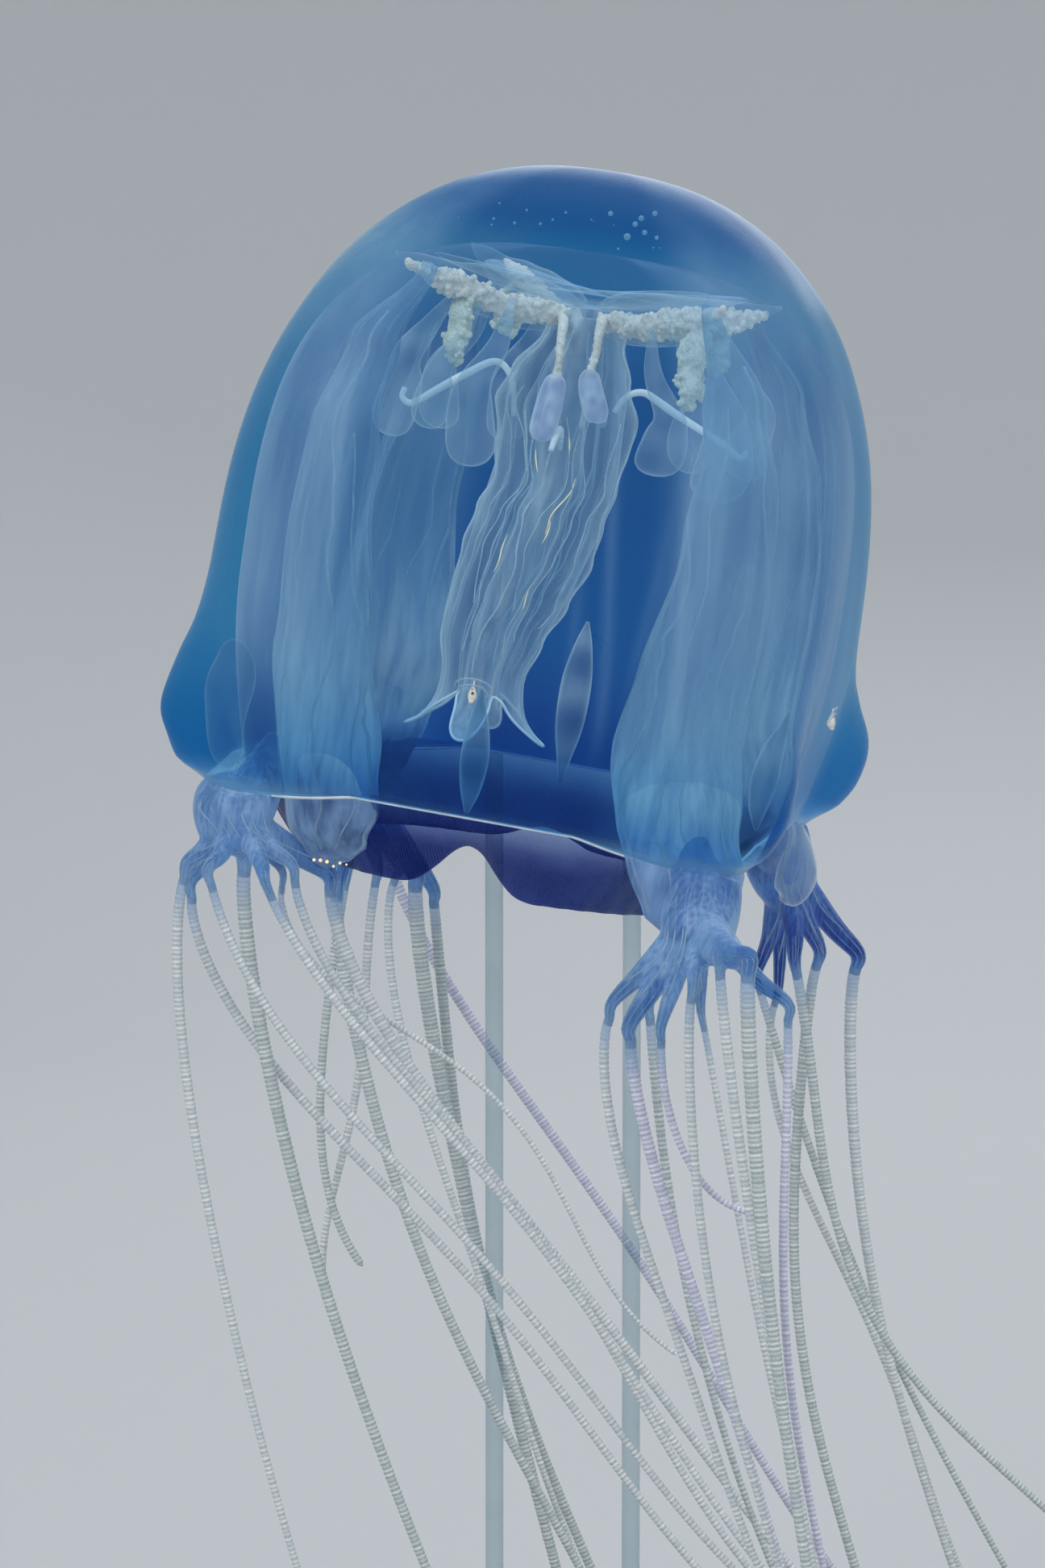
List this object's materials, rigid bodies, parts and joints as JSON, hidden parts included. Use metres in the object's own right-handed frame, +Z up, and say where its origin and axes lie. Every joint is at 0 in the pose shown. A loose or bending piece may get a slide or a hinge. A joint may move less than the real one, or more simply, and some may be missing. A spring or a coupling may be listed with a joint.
{
  "type": "box jellyfish",
  "caption": "Box jellyfish as a life-size still model: clear blue squared bell showing mouth tube and stomach, hand-like pedalia and trailing ringed tentacles, on a rod stand.",
  "frame": {"origin": "on the underside of the stand's base, below the bell's axis", "axes": "+Z up, along the hanging tentacles; the near flat face of the bell looks towards -Y, turned about eleven degrees; +X to the side the bell leans to and the tentacles stream to"},
  "size_m": [0.3083, 0.2845, 0.5623],
  "materials": {
    "bell_jelly": "clear wet blue jelly",
    "milky_tissue": "wet, milky translucent blue",
    "velarium_membrane": "wet thin membrane, deep indigo",
    "gastric_filaments": "granular cream tissue",
    "sense_organ": "glinting pale body with dark eyes",
    "tentacle": "pale rings on translucent grey",
    "acrylic_rod": "clear polished acrylic",
    "stand_base": "satin dark"
  },
  "bodies": {
    "root": {"bell_crown": "bell_jelly", "bell_wall": "bell_jelly", "gastric_filaments_left_far": "gastric_filaments", "gastric_filaments_left_near": "gastric_filaments", "gastric_filaments_right_far": "gastric_filaments", "gastric_filaments_right_near": "gastric_filaments", "manubrium": "milky_tissue", "pedalium_left_far": "milky_tissue", "pedalium_left_near": "milky_tissue", "pedalium_right_far": "milky_tissue", "pedalium_right_near": "milky_tissue", "rhopalium_far": "sense_organ", "rhopalium_left": "sense_organ", "rhopalium_near": "sense_organ", "rhopalium_right": "sense_organ", "stand_base": "stand_base", "stand_rod_left": "acrylic_rod", "stand_rod_right": "acrylic_rod", "stomach": "milky_tissue", "tentacle_a1": "tentacle", "tentacle_a2_lower": "tentacle", "tentacle_a2_upper": "tentacle", "tentacle_a3_lower": "tentacle", "tentacle_a3_upper": "tentacle", "tentacle_a4_lower": "tentacle", "tentacle_a4_upper": "tentacle", "tentacle_a5_lower": "tentacle", "tentacle_a5_upper": "tentacle", "tentacle_a6_lower": "tentacle", "tentacle_a6_upper": "tentacle", "tentacle_a7_lower": "tentacle", "tentacle_a7_upper": "tentacle", "tentacle_a8": "tentacle", "tentacle_b1": "tentacle", "tentacle_b2": "tentacle", "tentacle_b3_lower": "tentacle", "tentacle_b3_upper": "tentacle", "tentacle_b4_lower": "tentacle", "tentacle_b4_upper": "tentacle", "tentacle_b5_lower": "tentacle", "tentacle_b5_upper": "tentacle", "tentacle_b6_lower": "tentacle", "tentacle_b6_upper": "tentacle", "tentacle_b7_lower": "tentacle", "tentacle_b7_upper": "tentacle", "tentacle_c1": "tentacle", "tentacle_c2": "tentacle", "tentacle_c3": "tentacle", "tentacle_c4": "tentacle", "tentacle_c5": "tentacle", "tentacle_c6": "tentacle", "tentacle_c7": "tentacle", "tentacle_c8": "tentacle", "tentacle_c9": "tentacle", "tentacle_d1": "tentacle", "tentacle_d2": "tentacle", "tentacle_d3": "tentacle", "tentacle_d4": "tentacle", "tentacle_d5": "tentacle", "velarium": "velarium_membrane"}
  },
  "joints": []
}
